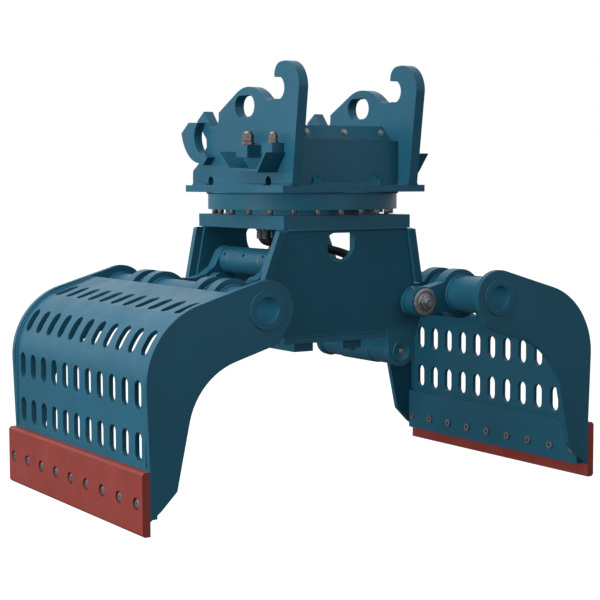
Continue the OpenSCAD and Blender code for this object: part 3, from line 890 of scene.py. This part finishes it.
    def shell_line(self, inset: float, y: float) -> list[Vector]:
        """Gives the line of the shell's bend and flat at one place along the pins.

        Args:
            inset: Depth below the outer face in millimetres.
            y: Place along the pins in millimetres.

        Returns:
            Points from the blade's top to the shell's end.
        """
        start = self.strip_top + 6 - self.shell_low
        end = self.crease + self.flat_run - 4
        steps = 60
        return [self.on_shell(start + (end - start) * i / steps, inset, y)
                for i in range(steps + 1)]

    def weld_shell(self) -> None:
        """Lays the beads between the shell, the side plates and the backing strip."""
        piece = Piece(f"{self.side.label}_shell_welds")
        for sign in (-1, 1):
            edge = sign * (self.shell_half - 1.5)
            self.weld.line(piece, self.shell_line(-1.0, edge))
            self.weld.line(piece, self.shell_line(self.shell_t + 1.5, edge))
        x = self.bend_centre[0] + self.shell_outer - self.shell_t - 2
        reach = self.shell_half - 8
        self.weld.line(piece, [self.at(x, -reach, self.strip_top + 1.5),
                               self.at(x, reach, self.strip_top + 1.5)])
        piece.place(self.finishes, Slot.BLUE, self.body)

    def bolt_blade(self) -> None:
        """Makes the plough bolts: a flat domed head, and a round socket nut inside."""
        nodes = f"{self.side.label}_blade_bolts"
        piece = Piece(f"{self.side.label}_plough_bolts")
        first = -(self.bolt_count - 1) / 2 * self.bolt_pitch
        inside = self.bend_centre[0] + self.shell_outer - self.shell_t - self.strip_t
        out = Vector((self.side.value, 0, 0))
        head = [(9.9, -28.0), (9.9, -14.2), (14.0, -13.8), (14.0, -4.2), (13.2, -3.0),
                (12.0, -2.5), (4.2, -2.0), (3.8, -2.4), (3.6, -5.0)]
        nut = [(10.6, 0.1), (14.0, 0.1), (14.4, 0.5), (14.4, 5.0), (13.6, 5.8), (5.0, 5.8),
               (4.6, 5.2), (4.6, -3.0), (10.6, -3.0)]
        for i in range(self.bolt_count):
            y = first + i * self.bolt_pitch
            piece.turn(head, self.at(self.blade_face, y, self.bolt_z), out, 36)
            piece.turn(nut, self.at(inside, y, self.bolt_z), -out, 36, True)
        piece.place(self.finishes, Slot.STEEL, self.body, [nodes])

    def nipples(self) -> None:
        """Makes the grease nipples on the rims of the arms' pivot eyes."""
        centre = middle(f"{self.side.label}_bushes")
        pivot = Vector((self.side.value * self.pivot_x * MM, 0, centre.z))
        piece = Piece(f"{self.side.label}_grease_nipples")
        shape = [(5.0, -2.0), (5.0, 3.0), (3.2, 4.0), (3.2, 7.0), (4.2, 8.4), (3.6, 10.4),
                 (2.0, 11.6)]
        inward, upward = self.nipple_lean
        lean = Vector((-self.side.value * inward, 0, upward)).normalized()
        for y in (-self.nipple_y, self.nipple_y):
            spot = pivot + lean * self.eye_r * MM + Vector((0, y * MM, 0))
            piece.turn(shape, spot, lean, 16)
        piece.place(self.finishes, Slot.STEEL, self.body)


@dataclass
class Frame:
    """The pivoting frame with its pins, welds and hoses, in millimetres."""

    finishes: Finishes
    pivot: tuple[float, float] = (285.0, 604.0)
    pin_end: float = 298.5
    deck_low: float = 849.0
    lean_deg: float = 8.8
    plate_half_t: float = 10.0
    plate_y: float = 262.0
    base: tuple[float, float] = (246.0, 437.0)
    deck_weld_half: tuple[float, float] = (228.0, 224.0)
    boss_weld: tuple[float, float] = (196.0, 47.0)
    belly_depth: float = 345.0
    belly_weld: tuple[float, float, float] = (200.0, 16.0, -3.5)
    bulkhead: tuple[float, float] = (230.2, 743.0)
    hose_y: float = 17.0
    hose_r: float = 12.5
    hose_route: tuple[tuple[float, float], ...] = (
        (-150, 838), (-150, 822), (-140, 806), (-116, 798), (-70, 797), (-20, 794),
        (30, 788), (80, 778), (130, 766), (166, 755), (188, 747), (204, 743), (217.9, 743))
    weld: Weld = field(default_factory=Weld)

    def build(self) -> None:
        """Builds every piece of the frame."""
        self.pins()
        self.base_caps()
        self.welds()
        self.hoses()

    def pins(self) -> None:
        """Makes the chamfered washers, the nuts and the threaded ends of the pivot pins."""
        washers = Piece("pivot_washer_discs")
        nuts = Piece("pivot_nuts_and_ends")
        disc = [(31.0, 0.1), (44.4, 0.1), (45.6, 1.3), (45.6, 5.6), (43.4, 7.4), (36.0, 7.4),
                (35.4, 6.8), (31.0, 6.8)]
        pitch = 2.0
        for x in (-self.pivot[0], self.pivot[0]):
            for sign in (-1, 1):
                out = Vector((0, sign, 0))
                seat = Vector((x, sign * self.pin_end, self.pivot[1])) * MM
                washers.turn(disc, seat, out, 64, True)
                plug = [(30.4, 0.3), (30.4, 5.2), (28.6, 6.6)]
                nuts.turn(plug, seat, out, 48)
                nuts.hexagon(43.0, 13.0, seat + out * 6.7 * MM, out, 15.8)
                thread = [(14.6, 12.0)]
                for turn in range(4):
                    level = 19.8 + turn * pitch
                    thread += [(15.2, level), (14.0, level + pitch / 2)]
                thread += [(13.2, 28.2), (5.0, 28.2), (4.2, 26.4)]
                nuts.turn(thread, seat, out, 36)
        washers.place(self.finishes, Slot.STEEL, "frame", ["pivot_washers"])
        nuts.place(self.finishes, Slot.STEEL, "frame", ["pivot_nuts"])

    def base_caps(self) -> None:
        """Makes the dished caps of the cylinder's base pin, their washers and screws."""
        low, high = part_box("base_pin_caps")
        caps = Piece("base_pin_dished_caps")
        screws = Piece("base_pin_screws")
        start = high.y / MM - 5.9
        dish = [(33.0, 0.0), (34.0, 1.0), (34.0, 4.8), (33.2, 5.8), (30.5, 5.8), (29.5, 5.4),
                (10.5, 0.9), (9.0, 0.8)]
        for sign in (-1, 1):
            out = Vector((0, sign, 0))
            seat = Vector((self.base[0], sign * start, self.base[1])) * MM
            caps.turn(dish, seat, out, 56)
            screws.turn([(3.5, 0.9), (9.0, 0.9), (9.4, 1.3), (9.4, 2.4), (9.0, 2.8), (3.5, 2.8)],
                        seat, out, 32, True)
            screws.hexagon(11.0, 2.6, seat + out * 2.9 * MM, out, 3.4)
        caps.place(self.finishes, Slot.BLUE, "frame", ["base_pin_caps"])
        screws.place(self.finishes, Slot.PHOSPHATE, "frame")

    def plate_face(self, depth: float, outward: bool) -> tuple[float, float]:
        """Gives a place on a leaning side plate.

        Args:
            depth: Depth below the deck along the plate in millimetres.
            outward: True for its outer face.

        Returns:
            Distance from the middle plane and height, in millimetres.
        """
        lean = math.radians(self.lean_deg)
        off = self.plate_half_t if outward else -self.plate_half_t
        return (self.plate_y - depth * math.sin(lean) + off * math.cos(lean),
                self.deck_low - depth * math.cos(lean) - off * math.sin(lean))

    def welds(self) -> None:
        """Lays the beads under the deck, round the bosses and along the belly plate."""
        piece = Piece("frame_welds")
        along_y = Vector((0, 1, 0))
        for sign in (-1, 1):
            for outward in (True, False):
                y, _ = self.plate_face(0, outward)
                y += 2.0 if outward else -2.0
                reach = self.deck_weld_half[0 if outward else 1]
                self.weld.line(piece, [Vector((-reach, sign * y, self.deck_low - 1.5)) * MM,
                                       Vector((reach, sign * y, self.deck_low - 1.5)) * MM])
            boss_y, boss_r = self.boss_weld
            spot = Vector((self.base[0], sign * boss_y, self.base[1])) * MM
            self.weld.ring(piece, spot, along_y, boss_r)
            y, z = self.plate_face(self.belly_depth, False)
            half, out, up = self.belly_weld
            self.weld.line(piece, [Vector((-half, sign * (y + out), z + up)) * MM,
                                   Vector((half, sign * (y + out), z + up)) * MM])
        piece.place(self.finishes, Slot.BLUE, "frame")

    def hose_line(self, y: float) -> list[Vector]:
        """Smooths the hose's route to one curve.

        Args:
            y: Place along the pins in millimetres.

        Returns:
            Points of the curve in metres.
        """
        route = [Vector((x, y, z)) * MM for x, z in self.hose_route]
        route = [route[0] * 2 - route[1], *route, route[-1] * 2 - route[-2]]
        steps = 24
        line = []
        for a, b, c, d in zip(route, route[1:], route[2:], route[3:]):
            for i in range(steps):
                t = i / steps
                line.append(0.5 * (2 * b + (c - a) * t + (2 * a - 5 * b + 4 * c - d) * t * t
                                   + (3 * b - a - 3 * c + d) * t ** 3))
        line.append(route[-2])
        return line

    def hoses(self) -> None:
        """Makes both pressure hoses, their crimped ends, nuts and bulkhead fittings."""
        covers = Piece("pressure_hoses")
        ends = Piece("hose_ends")
        pitch = 9.0

        def wrap(length: float, angle: float) -> float:
            """Gives the wrapped cover's low helical ridge."""
            return -0.5 + 0.5 * math.cos(2 * math.pi * length / pitch - angle)

        for y in (-self.hose_y, self.hose_y):
            line = self.hose_line(y)
            covers.sweep(line, self.hose_r, 20, False, wrap)
            up = (line[0] - line[3]).normalized()
            away = (line[-1] - line[-4]).normalized()
            crimp = [(13.2, -26.0), (14.6, -25.0), (14.6, -20.0), (13.6, -18.5), (14.6, -17.0),
                     (14.6, -12.0), (13.6, -10.5), (14.6, -9.0), (14.6, -3.0), (12.0, 0.0)]
            for spot, way in ((line[0], up), (line[-1], away)):
                ends.turn(crimp, spot, way, 32)
            ends.hexagon(30.0, 10.6, line[0] + Vector((0, 0, 0.1)) * MM, Vector((0, 0, 1)))
            wall = Vector((self.bulkhead[0], y, self.bulkhead[1])) * MM
            ends.turn([(8.8, -11.5), (8.8, 14.0), (7.6, 15.0)], wall, Vector((1, 0, 0)), 28)
            ends.hexagon(24.0, 8.0, wall, Vector((1, 0, 0)))
        covers.place(self.finishes, Slot.RUBBER, "frame", ["hoses"])
        ends.place(self.finishes, Slot.IRON, "frame", ["hose_fittings"])


@dataclass
class Head:
    """The rotator drum and the coupler head, in millimetres."""

    finishes: Finishes
    bolt_count: int = 24
    bolt_circle: float = 293.0
    plate_top: float = 988.0
    drum_low: float = 910.0
    ear_faces: tuple[float, float] = (204.0, 238.0)
    ear_y: tuple[float, float] = (-319.0, 324.0)
    arch_y: tuple[float, float] = (-177.0, 197.0)
    arch_r: float = 17.0
    cover_bolt_x: tuple[float, ...] = (-143.0, 0.0, 143.0)
    flange: tuple[float, float] = (250.75, 1155.05)
    flange_lean: float = math.atan2(21.5, 43.9)
    coupler_seats: tuple[tuple[float, ...], ...] = ((264.0, -96.0, 1116.1, 22.0, 44.0),
                                                    (262.0, -248.0, 1120.1, 16.0, 34.0))
    cover_weld: tuple[float, float] = (94.0, 263.5)
    weld: Weld = field(default_factory=Weld)

    def build(self) -> None:
        """Builds every piece of the head."""
        self.drum_screws()
        self.cover_screws()
        self.couplers()
        self.welds()

    def drum_screws(self) -> None:
        """Makes the socket screws that hang round the drum's lower edge."""
        piece = Piece("drum_socket_screws")
        down = Vector((0, 0, -1))
        shape = [(8.9, 0.2), (9.0, 1.0), (9.0, 15.6), (8.0, 16.8), (5.2, 16.8), (4.8, 16.2),
                 (4.6, 9.0)]
        for i in range(self.bolt_count):
            a = 2 * math.pi * (i + 0.5) / self.bolt_count
            spot = Vector((self.bolt_circle * math.cos(a), self.bolt_circle * math.sin(a),
                           self.drum_low + 0.9)) * MM
            piece.turn(shape, spot, down, 24)
        piece.place(self.finishes, Slot.PHOSPHATE, "head", ["drum_bolts"])

    def cover_screws(self) -> None:
        """Makes the hexagon bolts and washers on the cover's flanges."""
        piece = Piece("cover_hex_bolts")
        for sign in (-1, 1):
            out = Vector((0, sign * math.cos(self.flange_lean), math.sin(self.flange_lean)))
            for x in self.cover_bolt_x:
                seat = Vector((x, sign * self.flange[0], self.flange[1])) * MM + out * 0.1 * MM
                piece.turn([(6.0, 0.0), (11.0, 0.0), (11.4, 0.4), (11.4, 1.8), (11.0, 2.2),
                            (6.0, 2.2)], seat, out, 28, True)
                piece.hexagon(16.0, 5.6, seat + out * 2.2 * MM, out)
        piece.place(self.finishes, Slot.STEEL, "head", ["cover_bolts"])

    def couplers(self) -> None:
        """Makes the oil couplers: hexagon base, hexagon body and open nose."""
        piece = Piece("oil_coupler_halves")
        up = Vector((0, 0, 1))
        for sign in (-1, 1):
            for x, y, z, r, h in self.coupler_seats:
                seat = Vector((sign * x, y, z)) * MM
                piece.hexagon(r * 1.72, h * 0.24, seat, up)
                piece.hexagon(r * 1.5, h * 0.56, seat + up * h * 0.25 * MM, up)
                nose = [(r * 0.66, h * 0.82), (r * 0.66, h * 0.9), (r * 0.5, h), (r * 0.34, h),
                        (r * 0.32, h * 0.97), (r * 0.32, h * 0.84)]
                piece.turn(nose, seat, up, 40)
        piece.place(self.finishes, Slot.PHOSPHATE, "head", ["oil_couplers"])

    def welds(self) -> None:
        """Lays the beads at the feet of the ears and the cover, and under the head plate."""
        piece = Piece("head_welds")
        z = self.plate_top + 1.5
        near, rear = self.arch_y
        spans = ((self.ear_y[0], near - self.arch_r), (near + self.arch_r, rear - self.arch_r),
                 (rear + self.arch_r, self.ear_y[1]))
        for sign in (-1, 1):
            for face, push in ((self.ear_faces[1], 1.5), (self.ear_faces[0], -1.5)):
                for start, end in spans:
                    x = sign * (face + push)
                    self.weld.line(piece, [Vector((x, start + 4, z)) * MM,
                                           Vector((x, end - 4, z)) * MM])
            half, cover_y = self.cover_weld
            self.weld.line(piece, [Vector((-half, sign * cover_y, z)) * MM,
                                   Vector((half, sign * cover_y, z)) * MM])
        low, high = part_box("rotator_drum")
        self.weld.ring(piece, Vector((0, 0, high.z - 1.5 * MM)), Vector((0, 0, 1)),
                       high.x / MM + 0.5)
        piece.place(self.finishes, Slot.BLUE, "head")


@dataclass
class LeverSeals:
    """The grease-stained seal rings between the rod eye and its sleeves, in millimetres."""

    finishes: Finishes
    gap_y: float = 97.25
    outer: float = 46.4
    inner: float = 24.0
    half_t: float = 0.55

    def build(self) -> None:
        """Makes both rings."""
        low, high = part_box("rod_pin")
        piece = Piece("rod_eye_seals")
        x = (low.x + high.x) / 2 / MM
        z = (low.z + high.z) / 2 / MM
        ring = [(self.inner, -self.half_t), (self.outer, -self.half_t), (self.outer, self.half_t),
                (self.inner, self.half_t)]
        for sign in (-1, 1):
            piece.turn(ring, Vector((x, sign * self.gap_y, z)) * MM, Vector((0, 1, 0)), 48, True)
        piece.place(self.finishes, Slot.BRONZE, "left_jaw")


@dataclass
class Studio:
    """The pale floor, the soft lamps and the camera."""

    camera_spot: tuple[float, float, float] = (-2.7638, -4.3876, 1.0089)
    yaw_deg: float = -32.112
    pitch_deg: float = -4.466
    roll_deg: float = -0.159
    focal_px: float = 1553.85
    image_px: float = 600.0
    sensor_mm: float = 36.0

    def build(self) -> None:
        """Sets up the whole studio."""
        self.floor()
        self.world()
        self.lamp("key_softbox", (-4.3, -0.8, 4.0), 2.6, 50.0)
        self.lamp("left_wash", (-5.0, -0.3, 2.6), 2.4, 195.0, False)
        self.lamp("front_fill", (1.2, -4.8, 2.2), 3.0, 34.0)
        self.lamp("top_softbox", (0.4, 0.8, 4.4), 3.2, 12.0)
        self.lamp("high_sheen", (-1.9, -1.4, 4.7), 1.0, 26.0)
        self.camera()
        bpy.context.scene.view_settings.view_transform = "Standard"

    def floor(self) -> None:
        """Lays a plain floor that is white to the camera and grey to the light."""
        half = 30.0
        data = bpy.data.meshes.new("studio_floor")
        data.from_pydata([(-half, -half, 0), (half, -half, 0), (half, half, 0), (-half, half, 0)],
                         [], [(0, 1, 2, 3)])
        plane = bpy.data.objects.new("studio_floor", data)
        bpy.context.scene.collection.objects.link(plane)
        material = bpy.data.materials.new("painted_studio_floor")
        tree = empty_tree(material)
        diffuse = add_node(tree, "ShaderNodeBsdfDiffuse", {"Color": to_linear("#909090")})
        glow = add_node(tree, "ShaderNodeEmission", {"Color": to_linear("#ffffff"),
                                                     "Strength": 1.0})
        both = add_node(tree, "ShaderNodeAddShader", {0: diffuse.outputs[0], 1: glow.outputs[0]})
        path = add_node(tree, "ShaderNodeLightPath")
        mix = add_node(tree, "ShaderNodeMixShader", {0: path.outputs["Is Camera Ray"],
                                                     1: diffuse.outputs[0], 2: both.outputs[0]})
        add_node(tree, "ShaderNodeOutputMaterial", {"Surface": mix.outputs[0]})
        data.materials.append(material)

    def world(self) -> None:
        """Makes the room's light, and the white that the camera sees behind the object."""
        world = bpy.data.worlds.new("studio_room")
        bpy.context.scene.world = world
        tree = empty_tree(world)
        path = add_node(tree, "ShaderNodeLightPath")
        bright = add_node(tree, "ShaderNodeMath", {0: path.outputs["Is Glossy Ray"], 1: 1.25,
                                                   2: 0.24}, operation="MULTIPLY_ADD")
        room = add_node(tree, "ShaderNodeBackground", {"Color": to_linear("#e8eef5"),
                                                       "Strength": bright.outputs[0]})
        white = add_node(tree, "ShaderNodeBackground", {"Color": to_linear("#ffffff"),
                                                        "Strength": 1.0})
        mix = add_node(tree, "ShaderNodeMixShader", {0: path.outputs["Is Camera Ray"],
                                                     1: room.outputs[0], 2: white.outputs[0]})
        add_node(tree, "ShaderNodeOutputWorld", {"Surface": mix.outputs[0]})

    def lamp(self, name: str, spot: tuple[float, float, float], size: float,
             power: float, shadow: bool = True) -> None:
        """Hangs one square softbox that faces the object.

        Args:
            name: The lamp's name.
            spot: Where it hangs, in metres.
            size: Width in metres.
            power: Power in watts.
            shadow: False for a wash that also reaches into the jaws, as in the photograph.
        """
        light = bpy.data.lights.new(name, "AREA")
        light.use_shadow = shadow
        light.shape = "SQUARE"
        light.size = size
        light.energy = power
        lamp = bpy.data.objects.new(name, light)
        lamp.location = spot
        towards = Vector((0, 0, 0.65)) - Vector(spot)
        lamp.rotation_euler = towards.to_track_quat("-Z", "Y").to_euler()
        bpy.context.scene.collection.objects.link(lamp)

    def camera(self) -> None:
        """Sets the camera at the photograph's place, angle and lens."""
        data = bpy.data.cameras.new("photo_camera")
        data.sensor_width = self.sensor_mm
        data.lens = self.focal_px * self.sensor_mm / self.image_px
        data.clip_end = 100.0
        camera = bpy.data.objects.new("photo_camera", data)
        turn = (Matrix.Rotation(math.radians(self.yaw_deg), 4, "Z")
                @ Matrix.Rotation(math.radians(90 + self.pitch_deg), 4, "X")
                @ Matrix.Rotation(math.radians(self.roll_deg), 4, "Z"))
        camera.matrix_world = Matrix.Translation(self.camera_spot) @ turn
        bpy.context.scene.collection.objects.link(camera)
        bpy.context.scene.camera = camera


def main() -> None:
    """Builds the studio, then the grapple from the jaws up."""
    logging.basicConfig(level=logging.INFO, format="%(message)s")
    Studio().build()
    finishes = Finishes()
    finishes.dress_cad()
    for side in Side:
        Jaw(side, finishes).build()
    LeverSeals(finishes).build()
    Frame(finishes).build()
    Head(finishes).build()


if __name__ == "__main__":
    main()
